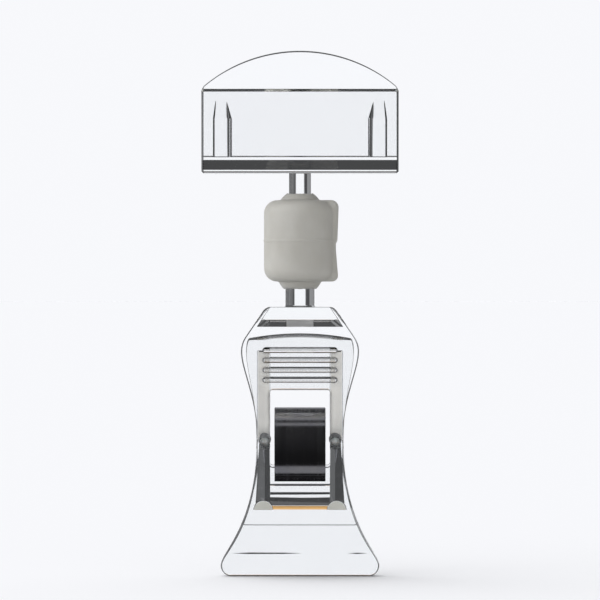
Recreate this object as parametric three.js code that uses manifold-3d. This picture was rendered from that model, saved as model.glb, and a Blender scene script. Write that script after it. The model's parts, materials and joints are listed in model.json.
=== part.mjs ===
// Clip-on sign holder: a clear spring clip, a ball-ended connector and a clear card grip.
// Millimetres, +Z up. The origin is between the jaw tips, on the plane where the jaws meet.
// +X is to the right, and -Y is the front, the side of the thumb lever.
import * as THREE from "three";
import { mergeVertices } from "three/addons/utils/BufferGeometryUtils.js";
import Module from "manifold-3d";

const wasm = await Module();
wasm.setup();

const degrees = THREE.MathUtils.degToRad;

// Fits and facets
const clearance = 0.3; // gap left between pieces that bear on each other
const embed = 0.6; // how far a feature is sunk into the wall that carries it
const roundSegments = 36; // facets round a revolved form
const curveSteps = 14; // facets along one curve of an outline

// Jaws, seen from the front
const clipHeight = 68.3;
const jawHalfWidth = 20.1;
const jawCorner = 2.8;
const jawFlareStart = 6;
const rearFlareEnd = 13;
const leverFlareEnd = 11.4; // the lever is a little slimmer above its pad
const waistHalfWidth = 10.95;
const waistBlend = 10.5;
const shoulderHalfWidth = 15;
const shoulderDrop = 11.3; // from the clip's top down to the widest part of the shoulders
const shoulderBlend = 5;
const shoulderRise = 2;
const topHalfWidth = 8.7;
const topCorner = 1.3;
const leverDrop = 6.6; // from the clip's top down to the lever's top
const leverArch = 1.5;
const leverShoulderHalfWidth = 13.5;
const leverTopHalfWidth = 12.4;

// Jaws, seen from the side
const mouthGap = 0.3;
const jawWall = 2.2;
const padHeight = 13.2;
const padExtraWall = 0.4; // the rear jaw's foot is thicker behind the pad
const leverLean = degrees(16);
const tipChamfer = 0.4;
const padGrooveHeight = 5.8;
const padGrooveDepth = 0.25;
const padGrooveLength = 34;

// Hinge between the jaws
const pivotHeight = 34.8;
const pivotForward = 1.65; // from the rear jaw's inner face to the hinge axis
const knuckleRadius = 1.6;
const openAngle = degrees(20);
const openMargin = degrees(20); // spare angle of the vee above the hinge

// Side ribs, window and finger ridges
const ribWidth = 3.3;
const ribInset = 0.1; // from the waist's edge to the ribs
const ribHeadDrop = 4.2; // from the lever's top down to the ribs' heads
const ribFootRise = 3.9; // from the pad up to the ribs' feet
const ribGap = 0.5; // from the lever's deep ribs to the rear jaw
const leverRibWidth = 2.7;
const leverRibRise = 1.65; // of the shallow ribs above the hinge
const leverRibFlare = 1.1; // how much further out they stand at their feet
const leverRibRoof = degrees(33);
const crossRibHeight = 3;
const crossRibLand = 1.2;
const crossRibLean = degrees(10);
const ejectorPadRadius = 2.5;
const ejectorPadX = 9.3;
const windowRoom = 4.5; // open height left above the spring
const seatLand = 2.6; // solid wall left above the spring's seat
const ridgeCount = 4;
const ridgePitch = 2.5;
const ridgeDrop = 4.1; // from the lever's top down to the first ridge
const ridgeRadius = 0.65;
const ridgeInset = 1.25; // from the ribs' outer edge to the ridges' ends

// Clamp spring, a C of spring strip that wraps the hinge
const springRadius = 9.3;
const springStrip = 0.6;
const springSideGap = 1.1;
const springDrop = 1.2; // from the hinge down to the middle of the C
const springForward = 0.5; // from the hinge forward to the middle of the C
const lipRadius = 0.95;
const lipCurl = degrees(115);
const springStopRadius = 0.5;
const rearStopRoom = 2.4; // where the rear lip creeps down as the jaws open

// Stem block on top of the rear jaw
const blockHeight = 3.3;
const blockSlope = 1.8;
const blockInset = 1.1;
const blockLand = 0.2; // flat left in front of and behind the stem

// Ball joints
const ballRadius = 4.5;
const lowerStem = 3.7;
const stemFillet = 0.4; // round the root of the lower stem
const lowerReach = 8.7; // from the rear jaw's top to the lower ball
const upperStem = 2.8;
const upperReach = 9.9; // from the upper ball to the foot of the grip
const tiltBack = degrees(24);
const tiltForward = degrees(4);

// Connector
const ballSpacing = 15.3;
const socketWall = 1.06; // of the domed lips round the balls
const barrelRadius = 9.15;
const barrelCorner = 3.3;
const barrelOver = 3.1; // how far the barrel runs above the upper ball's centre
const barrelUnder = 2.25; // and below the lower one's
const tabThickness = 8;
const tabHeadReach = 9.8;
const tabHeadCorner = 1.9;
const tabWaistReach = 9.5;
const tabNotchReach = 9;
const tabNotchDrop = 0.9; // from the seam down to the notch
const tabFootReach = 9.65;
const tabFootCorner = 1.5;
const seamBead = 0.2;

// Card grip
const gripWidth = 50;
const gripHalfDepth = 3;
const keelBack = 4.8; // from the stem's axis to the back of the keel
const keelChamfer = 0.5;
const keelLip = 0.95;
const keelHeight = 3.5;
const webHeight = 4.1;
const plateFoot = 1.8;
const plateTip = 1.4;
const frontPlateHeight = 21.4;
const backPlateSide = 21.9;
const backPlateHeight = 31.3;
const leadIn = 0.5;
const fingerHalfWidth = 2.4;
const fingerDepth = 1.9;
const fingerCentre = 19.7;
const fingerSteep = 0.5; // width of a finger's steep outer side
const fingerRound = 2.2; // and of its round inner side
const fingerShoulder = 13.8;
const fingerHeight = 18.8;
const fingerSlim = 0.44; // share of its width that a finger loses at its tip
const fingerShift = 0.35; // how far its tip leans outwards
const fingerSink = 0.1; // how far its tip sinks into the plate

// Places in the clip, worked out from the sizes above
const rearInner = mouthGap / 2;
const rearOuter = rearInner + jawWall;
const stemY = rearInner + jawWall / 2;
const pivotY = rearInner - pivotForward;
const shoulderHeight = clipHeight - shoulderDrop;
const leverHeight = clipHeight - leverDrop;
const ribOuter = waistHalfWidth - ribInset;
const ribHead = leverHeight - ribHeadDrop;
const ribFoot = padHeight + ribFootRise;
const ribBack = rearInner - ribGap;
const windowHalfWidth = ribOuter - ribWidth;
const knuckleX = windowHalfWidth + leverRibWidth / 2;
const ridgeHalfLength = ribOuter - ridgeInset;
const ridgeTop = leverHeight - ridgeDrop;
const springHalfWidth = windowHalfWidth - springSideGap;
const springCentre = new THREE.Vector2(pivotY - springForward, pivotHeight - springDrop);
const windowTop = springCentre.y + springRadius + windowRoom;
const blockHalfDepth = lowerStem + stemFillet + blockLand;

// Sizes of the ball joints, worked out from the sizes above
const socketRadius = ballRadius + clearance;
const domeRadius = socketRadius + socketWall;

// The card slot's half widths, and the front plate's inner face at a height above the grip's foot.
const slotHalf = gripHalfDepth - plateFoot;
const mouthHalf = gripHalfDepth - plateTip;
const slotTaper = (mouthHalf - slotHalf) / (frontPlateHeight - leadIn - webHeight);
const frontInner = (z) => -slotHalf - (z - webHeight) * slotTaper;

// The lever's inner and outer faces at a height above the pad.
const leverInner = (z) => -rearInner - Math.max(0, z - padHeight) * Math.tan(leverLean);
const leverOuter = (z) => leverInner(z) - jawWall / Math.cos(leverLean);

// Solids from geometry, and geometry from solids

function solid(geometry) {
  const bare = geometry.index ? geometry.toNonIndexed() : geometry.clone();
  bare.deleteAttribute("normal");
  bare.deleteAttribute("uv");
  const merged = mergeVertices(bare, 1e-4);
  const corners = merged.index.array;
  const triangles = [];
  for (let i = 0; i < corners.length; i += 3) {
    const [a, b, c] = corners.slice(i, i + 3);
    if (a !== b && b !== c && c !== a) triangles.push(a, b, c);
  }
  return new wasm.Manifold(
    new wasm.Mesh({
      numProp: 3,
      vertProperties: merged.attributes.position.array,
      triVerts: new Uint32Array(triangles),
    }),
  );
}

function geometryOf(body) {
  const { vertProperties, triVerts } = body.getMesh();
  const geometry = new THREE.BufferGeometry();
  geometry.setAttribute("position", new THREE.BufferAttribute(vertProperties, 3));
  geometry.setIndex(new THREE.BufferAttribute(triVerts, 1));
  geometry.computeVertexNormals();
  return geometry;
}

const join = (first, ...rest) => rest.reduce((sum, next) => sum.add(next), first);

function extrude(shape, depth) {
  return new THREE.ExtrudeGeometry(shape, { depth, bevelEnabled: false, curveSegments: curveSteps });
}

// A shape drawn in X and Z, run from yFront to yBack.
function alongY(shape, yFront, yBack) {
  return solid(extrude(shape, yBack - yFront).rotateX(Math.PI / 2).translate(0, yBack, 0));
}

// A shape drawn in Y and Z, run from xLeft to xRight.
function alongX(shape, xLeft, xRight) {
  const turn = new THREE.Matrix4().makeBasis(
    new THREE.Vector3(0, 1, 0),
    new THREE.Vector3(0, 0, 1),
    new THREE.Vector3(1, 0, 0),
  );
  return solid(extrude(shape, xRight - xLeft).applyMatrix4(turn).translate(xLeft, 0, 0));
}

// A shape drawn in X and Y, run from zLow to zHigh.
function alongZ(shape, zLow, zHigh) {
  return solid(extrude(shape, zHigh - zLow).translate(0, 0, zLow));
}

// A profile of radius and height, revolved round an upright axis that starts at y and z.
function revolve(profile, y, z) {
  return solid(new THREE.LatheGeometry(profile, roundSegments).rotateX(Math.PI / 2).translate(0, y, z));
}

function ball(radius, x, y, z) {
  const geometry = new THREE.SphereGeometry(radius, roundSegments, roundSegments / 2);
  return solid(geometry.rotateX(Math.PI / 2).translate(x, y, z));
}

// A bar with round ends, centred on the middle plane.
function barAlongX(radius, halfLength, y, z) {
  const geometry = new THREE.CapsuleGeometry(radius, 2 * (halfLength - radius), 3, 12);
  return solid(geometry.rotateZ(Math.PI / 2).translate(0, y, z));
}

const point = (u, v) => new THREE.Vector2(u, v);
const polygon = (...corners) => new THREE.Shape(corners.map(([u, v]) => point(u, v)));

// Closes a path drawn up the right side, from the axis to the axis, with its mirror image.
function mirrored(path) {
  const right = path.getPoints(curveSteps);
  const left = right.slice(1, -1).reverse();
  return new THREE.Shape([...right, ...left.map((p) => point(-p.x, p.y))]);
}

// Points of a circle of radius r about (u, v), from one angle to another.
function arc(u, v, r, from, to, steps) {
  return Array.from({ length: steps + 1 }, (_, i) => {
    const angle = from + ((to - from) * i) / steps;
    return point(u + r * Math.cos(angle), v + r * Math.sin(angle));
  });
}

// Just off a pole, where a revolved ball closes.
const nearPole = Math.PI / 2 - 1e-3;

// Outlines of the jaws

function jawFlank(flareEnd) {
  const path = new THREE.Path();
  path.moveTo(0, 0);
  path.lineTo(jawHalfWidth - jawCorner, 0);
  path.absarc(jawHalfWidth - jawCorner, jawCorner, jawCorner, -Math.PI / 2, 0);
  path.bezierCurveTo(jawHalfWidth, jawFlareStart, waistHalfWidth, flareEnd, waistHalfWidth, pivotHeight);
  return path;
}

function flankTo(path, halfWidth) {
  const leaving = pivotHeight + waistBlend;
  const arriving = shoulderHeight - shoulderBlend;
  path.bezierCurveTo(waistHalfWidth, leaving, halfWidth, arriving, halfWidth, shoulderHeight);
}

function rearOutline() {
  const path = jawFlank(rearFlareEnd);
  const shoulder = point(shoulderHalfWidth, shoulderHeight + shoulderRise);
  const top = point(topHalfWidth, clipHeight);
  const slope = top.clone().sub(shoulder).normalize();
  const afterShoulder = shoulder.clone().addScaledVector(slope, shoulderRise);
  const beforeTop = top.clone().addScaledVector(slope, -topCorner);
  flankTo(path, shoulderHalfWidth);
  path.quadraticCurveTo(shoulder.x, shoulder.y, afterShoulder.x, afterShoulder.y);
  path.lineTo(beforeTop.x, beforeTop.y);
  path.quadraticCurveTo(top.x, top.y, top.x - topCorner, top.y);
  path.lineTo(0, clipHeight);
  return mirrored(path);
}

function leverOutline() {
  const path = jawFlank(leverFlareEnd);
  const cornerHeight = leverHeight - leverArch;
  flankTo(path, leverShoulderHalfWidth);
  path.quadraticCurveTo(leverShoulderHalfWidth, cornerHeight, leverTopHalfWidth, cornerHeight);
  path.quadraticCurveTo(leverTopHalfWidth / 2, leverHeight, 0, leverHeight);
  return mirrored(path);
}

// Seats of the spring

// Where a lip's centre lies, below the hinge, so that it bears on a wall's outer face.
// The face runs along the unit vector up, and normal points out of the wall.
function lipCentre(onFace, up, normal) {
  const stand = lipRadius + springStrip / 2 + clearance;
  const reach = springRadius - springStrip / 2 + lipRadius;
  const start = onFace.clone().addScaledVector(normal, stand).sub(springCentre);
  const along = start.dot(up);
  const below = -along - Math.sqrt(along * along - start.lengthSq() + reach * reach);
  return start.addScaledVector(up, below).add(springCentre);
}

const frontLip = lipCentre(
  point(leverOuter(pivotHeight), pivotHeight),
  point(-Math.sin(leverLean), Math.cos(leverLean)),
  point(-Math.cos(leverLean), -Math.sin(leverLean)),
);
const rearLip = lipCentre(point(rearOuter, pivotHeight), point(0, 1), point(1, 0));

// Features that both jaws have

function springWindow(lip, yFront, yBack) {
  const foot = lip.y + seatLand;
  const opening = polygon(
    [-windowHalfWidth, foot],
    [windowHalfWidth, foot],
    [windowHalfWidth, windowTop],
    [-windowHalfWidth, windowTop],
  );
  return alongY(opening, yFront, yBack);
}

// A bar below a lip that keeps the spring from walking down the jaw.
function springStop(lip, room, faceAt) {
  const z = lip.y - lipRadius - springStrip / 2 - clearance - room - springStopRadius;
  return barAlongX(springStopRadius, windowHalfWidth, faceAt(z), z);
}

function fingerRidges(faceAt) {
  return Array.from({ length: ridgeCount }, (_, i) => {
    const z = ridgeTop - i * ridgePitch;
    return barAlongX(ridgeRadius, ridgeHalfLength, faceAt(z), z);
  });
}

// Makes a feature on the left (-1) and on the right (1).
const bothSides = (make) => [make(-1), make(1)];

// A shallow vee across the gripping face at y, cut towards the wall behind it.
function padGroove(y, towards) {
  const vee = polygon(
    [y - towards * padGrooveDepth, padGrooveHeight - 2 * padGrooveDepth],
    [y + towards * padGrooveDepth, padGrooveHeight],
    [y - towards * padGrooveDepth, padGrooveHeight + 2 * padGrooveDepth],
  );
  return alongX(vee, -padGrooveLength / 2, padGrooveLength / 2);
}

// Rear jaw: an upright plate that carries the lower ball

function stemBlock() {
  const low = clipHeight - blockHeight;
  const foot = low - blockSlope;
  const section = polygon(
    [rearInner, foot],
    [rearOuter, foot],
    [stemY + blockHalfDepth, low],
    [stemY + blockHalfDepth, clipHeight],
    [stemY - blockHalfDepth, clipHeight],
    [stemY - blockHalfDepth, low],
  );
  const flare = (shoulderHalfWidth - topHalfWidth) / (clipHeight - shoulderHeight - shoulderRise);
  const topHalf = topHalfWidth - blockInset;
  const footHalf = topHalf + flare * (clipHeight - foot);
  const front = polygon([-footHalf, foot], [footHalf, foot], [topHalf, clipHeight], [-topHalf, clipHeight]);
  const depth = blockHalfDepth + embed;
  return alongX(section, -footHalf, footHalf).intersect(alongY(front, stemY - depth, stemY + depth));
}

function lowerBallStem() {
  const root = lowerStem + stemFillet;
  const profile = [
    point(0, -blockHeight),
    point(root, -blockHeight),
    ...arc(root, stemFillet, stemFillet, -Math.PI / 2, -Math.PI, 4),
    ...arc(0, lowerReach, ballRadius, -Math.acos(lowerStem / ballRadius), nearPole, 12),
    point(0, lowerReach + ballRadius),
  ];
  return revolve(profile, stemY, clipHeight);
}

// An upright rib, which ends at the hinge in a round knuckle.
function rearRib(side) {
  const back = rearInner + embed;
  const section = polygon([pivotY, pivotHeight], [back, pivotHeight], [back, ribHead], [pivotY, ribHead]);
  const middle = (side * (windowHalfWidth + ribOuter)) / 2;
  const rib = alongX(section, middle - ribWidth / 2, middle + ribWidth / 2);
  return rib.add(ball(knuckleRadius, side * knuckleX, pivotY, pivotHeight));
}

function rearJaw() {
  const padOuter = rearOuter + padExtraWall;
  const side = polygon(
    [rearInner + tipChamfer, 0],
    [padOuter, 0],
    [padOuter, padHeight],
    [rearOuter, padHeight + padExtraWall],
    [rearOuter, clipHeight],
    [rearInner, clipHeight],
    [rearInner, tipChamfer],
  );
  const front = rearInner - jawWall;
  const back = padOuter + jawWall;
  const plate = alongX(side, -jawHalfWidth, jawHalfWidth).intersect(alongY(rearOutline(), front, back));
  const onBack = () => rearOuter;
  const stop = springStop(rearLip, rearStopRoom, onBack);
  return join(plate, stemBlock(), lowerBallStem(), stop, ...bothSides(rearRib), ...fingerRidges(onBack))
    .subtract(springWindow(rearLip, front, back))
    .subtract(padGroove(rearInner, 1));
}

// Front jaw: a leaning lever, with deep ribs below the hinge and shallow ones above

function leverRib(side) {
  const rise = leverRibRise / Math.cos(leverLean);
  const vee = Math.tan(openAngle + openMargin);
  const veeY = pivotY - clearance;
  const veeFoot = pivotHeight - clearance;
  const veeHeight = (veeY - leverInner(veeFoot) - rise) / (vee - Math.tan(leverLean));
  const section = polygon(
    [leverInner(ribFoot) - embed, ribFoot],
    [ribBack, ribFoot],
    [ribBack, veeFoot],
    [veeY, veeFoot],
    [veeY - veeHeight * vee, veeFoot + veeHeight],
    [leverInner(ribHead) + rise, ribHead],
    [leverInner(ribHead) - embed, ribHead],
  );
  // Seen from the front, the rib spreads towards its foot.
  const outer = windowHalfWidth + leverRibWidth;
  const front = polygon(
    [side * windowHalfWidth, ribFoot],
    [side * (outer + leverRibFlare), ribFoot],
    [side * outer, pivotHeight],
    [side * outer, ribHead],
    [side * windowHalfWidth, ribHead],
  );
  // Seen from above, it narrows to an edge like a roof where it nears the rear jaw.
  const ridge = side * knuckleX;
  const reach = leverRibWidth / 2 + leverRibFlare;
  const eaves = ribBack - reach * Math.tan(leverRibRoof);
  const fore = leverOuter(ribHead);
  const roof = polygon(
    [ridge - reach, fore],
    [ridge + reach, fore],
    [ridge + reach, eaves],
    [ridge, ribBack],
    [ridge - reach, eaves],
  );
  return alongX(section, ridge - reach, ridge + reach)
    .intersect(alongY(front, fore, 0))
    .intersect(alongZ(roof, 0, clipHeight));
}

// A wedge across the lever, with a narrow land along its foot.
function crossRib() {
  const head = ribFoot + crossRibHeight;
  const section = polygon(
    [leverInner(ribFoot) - embed, ribFoot],
    [ribBack - crossRibLand * Math.tan(crossRibLean), ribFoot],
    [ribBack, ribFoot + crossRibLand],
    [leverInner(head), head],
    [leverInner(head) - embed, head],
  );
  return alongX(section, -ribOuter, ribOuter);
}

// Half-round moulding pads at the feet of the lever's ribs.
function ejectorPad(side) {
  const front = leverInner(ribFoot + ejectorPadRadius) - embed;
  const half = new THREE.Shape(arc(side * ejectorPadX, ribFoot, ejectorPadRadius, 0, Math.PI, 12));
  return alongY(half, front, ribBack);
}

function knuckleSocket(side) {
  return ball(knuckleRadius + clearance, side * knuckleX, pivotY, pivotHeight);
}

function frontJaw() {
  const padOuter = -rearInner - jawWall;
  const side = polygon(
    [padOuter, 0],
    [-rearInner - tipChamfer, 0],
    [-rearInner, tipChamfer],
    [-rearInner, padHeight],
    [leverInner(leverHeight), leverHeight],
    [leverOuter(leverHeight), leverHeight],
    [padOuter, padHeight - jawWall * Math.tan(leverLean / 2)],
  );
  const front = leverOuter(leverHeight) - jawWall;
  const back = jawWall - rearInner;
  const plate = alongX(side, -jawHalfWidth, jawHalfWidth).intersect(alongY(leverOutline(), front, back));
  const ribs = join(crossRib(), ...bothSides(leverRib), ...bothSides(ejectorPad))
    .subtract(join(...bothSides(knuckleSocket)));
  const stop = springStop(frontLip, 0, leverOuter);
  return join(plate, ribs, stop, ...fingerRidges(leverOuter))
    .subtract(springWindow(frontLip, front, back))
    .subtract(padGroove(-rearInner, -1));
}

// Clamp spring: one strip, a C round the hinge with a rolled lip at each end

function clampSpring() {
  const half = springStrip / 2;
  const towards = (lip) => lip.clone().sub(springCentre).angle();
  const frontEnd = towards(frontLip);
  const rearEnd = towards(rearLip) - 2 * Math.PI;
  // The strip's line, from the front lip over the top to the rear lip, with its outward normals.
  const strip = [];
  const follow = (centre, radius, from, to, steps, outward) => {
    strip.pop(); // the end of the last arc is the start of this one
    for (const at of arc(centre.x, centre.y, radius, from, to, steps)) {
      strip.push({ at, normal: at.clone().sub(centre).normalize().multiplyScalar(outward) });
    }
  };
  follow(frontLip, lipRadius, frontEnd - Math.PI - lipCurl, frontEnd - Math.PI, 7, -1);
  follow(springCentre, springRadius - half, frontEnd, rearEnd, 44, 1);
  follow(rearLip, lipRadius, rearEnd + Math.PI, rearEnd + Math.PI + lipCurl, 7, -1);
  const outside = strip.map(({ at, normal }) => at.clone().addScaledVector(normal, half));
  const inside = strip.map(({ at, normal }) => at.clone().addScaledVector(normal, -half));
  const section = new THREE.Shape([...outside, ...inside.reverse()]);
  return alongX(section, -springHalfWidth, springHalfWidth);
}

// Connector, from its lower ball's centre: a barrel with domed sockets and a split tab on one side

const barrelFoot = -barrelUnder;
const barrelHead = ballSpacing + barrelOver;
const barrelSeam = (barrelFoot + barrelHead) / 2;

function connectorBarrel() {
  const corner = barrelRadius - barrelCorner;
  const profile = [
    point(0, -domeRadius),
    ...arc(0, 0, domeRadius, -nearPole, -Math.asin(barrelUnder / domeRadius), 8),
    ...arc(corner, barrelFoot + barrelCorner, barrelCorner, -Math.PI / 2, 0, 7),
    point(barrelRadius, barrelSeam - seamBead),
    point(barrelRadius + seamBead, barrelSeam),
    point(barrelRadius, barrelSeam + seamBead),
    ...arc(corner, barrelHead - barrelCorner, barrelCorner, 0, Math.PI / 2, 7),
    ...arc(0, ballSpacing, domeRadius, Math.asin(barrelOver / domeRadius), nearPole, 8),
    point(0, ballSpacing + domeRadius),
  ];
  return revolve(profile, 0, 0);
}

function connectorTab() {
  const shape = new THREE.Shape();
  const footCorner = tabFootReach - tabFootCorner;
  const headCorner = tabHeadReach - tabHeadCorner;
  shape.moveTo(0, barrelFoot);
  shape.lineTo(footCorner, barrelFoot);
  shape.absarc(footCorner, barrelFoot + tabFootCorner, tabFootCorner, -Math.PI / 2, 0);
  shape.lineTo(tabNotchReach, barrelSeam - tabNotchDrop);
  shape.lineTo(tabWaistReach, barrelSeam);
  shape.lineTo(tabHeadReach, barrelHead - tabHeadCorner);
  shape.absarc(headCorner, barrelHead - tabHeadCorner, tabHeadCorner, 0, Math.PI / 2);
  shape.lineTo(0, barrelHead);
  return alongY(shape, -tabThickness / 2, tabThickness / 2);
}

function roundMouth() {
  return new THREE.Shape().absarc(0, 0, lowerStem + clearance, 0, 2 * Math.PI);
}

// A slot, tight across the upper stem and long enough behind it for the grip to lean back.
function slotMouth() {
  const end = upperStem + clearance;
  const stemEdge = Math.asin((upperStem + clearance / 2) / domeRadius);
  const run = (tilt) => domeRadius * Math.sin(stemEdge + tilt) - end;
  const shape = new THREE.Shape();
  shape.absarc(0, run(tiltBack), end, 0, Math.PI);
  shape.absarc(0, -run(tiltForward), end, Math.PI, 2 * Math.PI);
  return shape;
}

// A socket's hollow: a ball at height z, and a mouth through the dome above it (1) or below it (-1).
function socketHollow(z, mouth, opens) {
  const beyond = z + opens * 2 * domeRadius;
  return ball(socketRadius, 0, 0, z).add(alongZ(mouth, Math.min(z, beyond), Math.max(z, beyond)));
}

function swivelConnector() {
  return join(connectorBarrel(), connectorTab())
    .subtract(socketHollow(0, roundMouth(), -1))
    .subtract(socketHollow(ballSpacing, slotMouth(), 1));
}

// Card grip, from its foot: a clear channel on a keel, with an arched back plate and a ball below it

function gripSection() {
  return polygon(
    [-gripHalfDepth, 0],
    [keelBack - keelChamfer, 0],
    [keelBack, keelChamfer],
    [keelBack, keelLip],
    [gripHalfDepth, keelHeight],
    [gripHalfDepth, backPlateHeight],
    [mouthHalf, backPlateHeight],
    [slotHalf, webHeight],
    [-slotHalf, webHeight],
    [-mouthHalf, frontPlateHeight - leadIn],
    [-mouthHalf - leadIn, frontPlateHeight],
    [-gripHalfDepth, frontPlateHeight],
  );
}

function gripOutline() {
  const half = gripWidth / 2;
  const rise = backPlateHeight - backPlateSide;
  const radius = (half * half + rise * rise) / (2 * rise);
  const sweep = Math.asin(half / radius);
  const shape = new THREE.Shape();
  shape.moveTo(-half, 0);
  shape.lineTo(half, 0);
  shape.lineTo(half, backPlateSide);
  shape.absarc(0, backPlateHeight - radius, radius, Math.PI / 2 - sweep, Math.PI / 2 + sweep);
  return shape;
}

// A finger on the front plate's inner face, steep on its outer side and round on its inner one.
// Above its shoulder it slims, and sinks into the plate.
function grippingFinger(side) {
  const foot = webHeight - embed;
  const quarter = (u, width, from, to) =>
    arc(0, 0, 1, from, to, 7).map((p) => point(u + p.x * width, p.y * fingerDepth));
  const section = [
    point(-fingerHalfWidth, -embed),
    point(fingerHalfWidth, -embed),
    ...quarter(fingerHalfWidth - fingerSteep, fingerSteep, 0, Math.PI / 2),
    ...quarter(fingerRound - fingerHalfWidth, fingerRound, Math.PI / 2, Math.PI),
  ];
  const shape = new THREE.Shape(section.map((p) => point(side * p.x, p.y)));
  const depth = fingerHeight - foot;
  const geometry = new THREE.ExtrudeGeometry(shape, { depth, steps: curveSteps, bevelEnabled: false });
  const places = geometry.attributes.position;
  for (let i = 0; i < places.count; i += 1) {
    const rise = places.getY(i);
    const z = foot + places.getZ(i);
    const over = Math.max(0, z - fingerShoulder) / (fingerHeight - fingerShoulder);
    const x = places.getX(i) * (1 - fingerSlim * over) + side * (fingerCentre + fingerShift * over);
    const height = rise > 0 ? rise * (1 - over) - fingerSink * over : rise;
    places.setXYZ(i, x, frontInner(z) + height, z);
  }
  return solid(geometry);
}

function upperBallStem() {
  const top = upperReach + embed;
  const profile = [
    point(0, -ballRadius),
    ...arc(0, 0, ballRadius, -nearPole, Math.acos(upperStem / ballRadius), 12),
    point(upperStem, top),
    point(0, top),
  ];
  return revolve(profile, 0, -upperReach);
}

function signGrip() {
  const depth = keelBack + embed;
  const half = gripWidth / 2;
  const channel = alongX(gripSection(), -half, half).intersect(alongY(gripOutline(), -depth, depth));
  return join(channel, ...bothSides(grippingFinger), upperBallStem());
}

// Scene: one named mesh for each piece, hung on the joints that carry it

const clearPlastic = { color: 0xe9edf0, roughness: 0.05, metalness: 0, transparent: true, opacity: 0.35 };
const milkyPlastic = { color: 0xb9b8b0, roughness: 0.45, metalness: 0 };
const springSteel = { color: 0x4a4b4d, roughness: 0.25, metalness: 1 };

function mesh(name, body, look) {
  const made = new THREE.Mesh(geometryOf(body), new THREE.MeshStandardMaterial(look));
  made.name = name;
  return made;
}

const grip = mesh("sign_grip", signGrip(), clearPlastic);
grip.position.set(0, 0, upperReach);

const upperJoint = new THREE.Group();
upperJoint.position.set(0, 0, ballSpacing);
upperJoint.add(grip);

const lowerJoint = new THREE.Group();
lowerJoint.position.set(0, stemY, clipHeight + lowerReach);
lowerJoint.add(mesh("swivel_connector", swivelConnector(), milkyPlastic), upperJoint);

const holder = new THREE.Group();
holder.add(
  mesh("rear_jaw", rearJaw(), clearPlastic),
  mesh("front_jaw", frontJaw(), clearPlastic),
  mesh("clamp_spring", clampSpring(), springSteel),
  lowerJoint,
);

export default holder;
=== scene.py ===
import json
import math

import bmesh
import bpy
from mathutils import Matrix, Vector
from mathutils.geometry import tessellate_polygon


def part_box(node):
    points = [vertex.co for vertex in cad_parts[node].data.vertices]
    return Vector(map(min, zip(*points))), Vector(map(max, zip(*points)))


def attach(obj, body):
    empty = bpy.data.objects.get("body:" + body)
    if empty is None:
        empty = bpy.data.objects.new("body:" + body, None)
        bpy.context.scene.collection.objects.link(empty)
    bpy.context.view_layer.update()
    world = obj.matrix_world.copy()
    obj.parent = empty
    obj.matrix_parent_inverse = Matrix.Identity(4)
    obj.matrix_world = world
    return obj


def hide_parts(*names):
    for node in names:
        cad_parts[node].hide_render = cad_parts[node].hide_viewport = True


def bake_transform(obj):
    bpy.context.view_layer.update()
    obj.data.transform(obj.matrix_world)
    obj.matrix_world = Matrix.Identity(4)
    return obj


# Clip-on sign holder: clear mouldings, a milky connector and a dark clamp spring.
# Shapes are written in millimetres, and a piece is scaled to metres when it is made.
# +Z is up, and the thumb lever faces -Y, towards the camera.
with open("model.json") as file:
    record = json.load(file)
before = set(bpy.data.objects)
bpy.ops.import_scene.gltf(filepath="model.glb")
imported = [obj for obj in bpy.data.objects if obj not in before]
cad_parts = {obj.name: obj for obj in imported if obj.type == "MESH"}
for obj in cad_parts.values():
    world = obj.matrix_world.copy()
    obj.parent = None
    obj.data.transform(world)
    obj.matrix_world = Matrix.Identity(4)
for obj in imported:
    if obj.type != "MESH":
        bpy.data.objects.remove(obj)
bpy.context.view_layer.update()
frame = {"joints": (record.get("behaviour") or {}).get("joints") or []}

MM = 0.001


def node_box(node):
    """The corners of a node, in millimetres."""
    low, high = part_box(node)
    return low / MM, high / MM


# Places that the frame gives
joints = {joint["name"]: joint for joint in frame["joints"]}
HINGE = Vector(joints["jaw_hinge"]["pos_m"]) / MM
LOWER_BALL = Vector(joints["connector_swivel"]["pos_m"]) / MM
UPPER_BALL = Vector(joints["sign_tilt"]["pos_m"]) / MM
TILT_BACK, TILT_FORWARD = [math.radians(abs(limit)) for limit in joints["sign_tilt"]["range_deg"]]
STEM_Y = LOWER_BALL.y
JAW_HALF = node_box("rear_jaw")[1].x
LEVER_TOP = node_box("front_jaw")[1].z
SPRING_HALF = node_box("clamp_spring")[1].x
GRIP_HALF = node_box("sign_grip")[1].x
GRIP_TOP = node_box("sign_grip")[1].z

# Rounding
RIM = 0.65  # radius of the rims of the plates
SLIM_RIM = 0.25  # its share at the feet of the windows and at the lever's sides
# Heights up the lever, and the share of the rims' radius there.
LEVER_RIMS = [(0, 1), (28, 1), (36, SLIM_RIM), (56, SLIM_RIM), (60.5, 0.9), (61, 1.6)]
RIB_EDGE = 0.22
LEAST_EDGE = 0.01
STRIP_EDGE = 0.14
FILLET_LIMIT = 0.9  # the share of a side that the fillet of one corner may take
NEARLY_STRAIGHT = math.radians(89)  # half the angle of a corner that gets no fillet
MERGED = math.radians(0.5)  # faces with less between them are merged before a bevel
SHARP = math.radians(15)  # and edges with more are bevelled
SMOOTH_ANGLE = 38  # degrees between faces that are still shaded as one

# Steps of curves and rounds
RIM_STEPS = 6
FILLET_STEPS = 5
BEVEL_STEPS = 3
ARC_STEPS = 12
FINE_ARC_STEPS = 24
CURVE_STEPS = 26
ROUND_STEPS = 72
BALL_STEPS = 32
BAR_END_STEPS = 8
MOUTH_STEPS = 48
LIP_STEPS = 16
BOW_STEPS = 120

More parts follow.
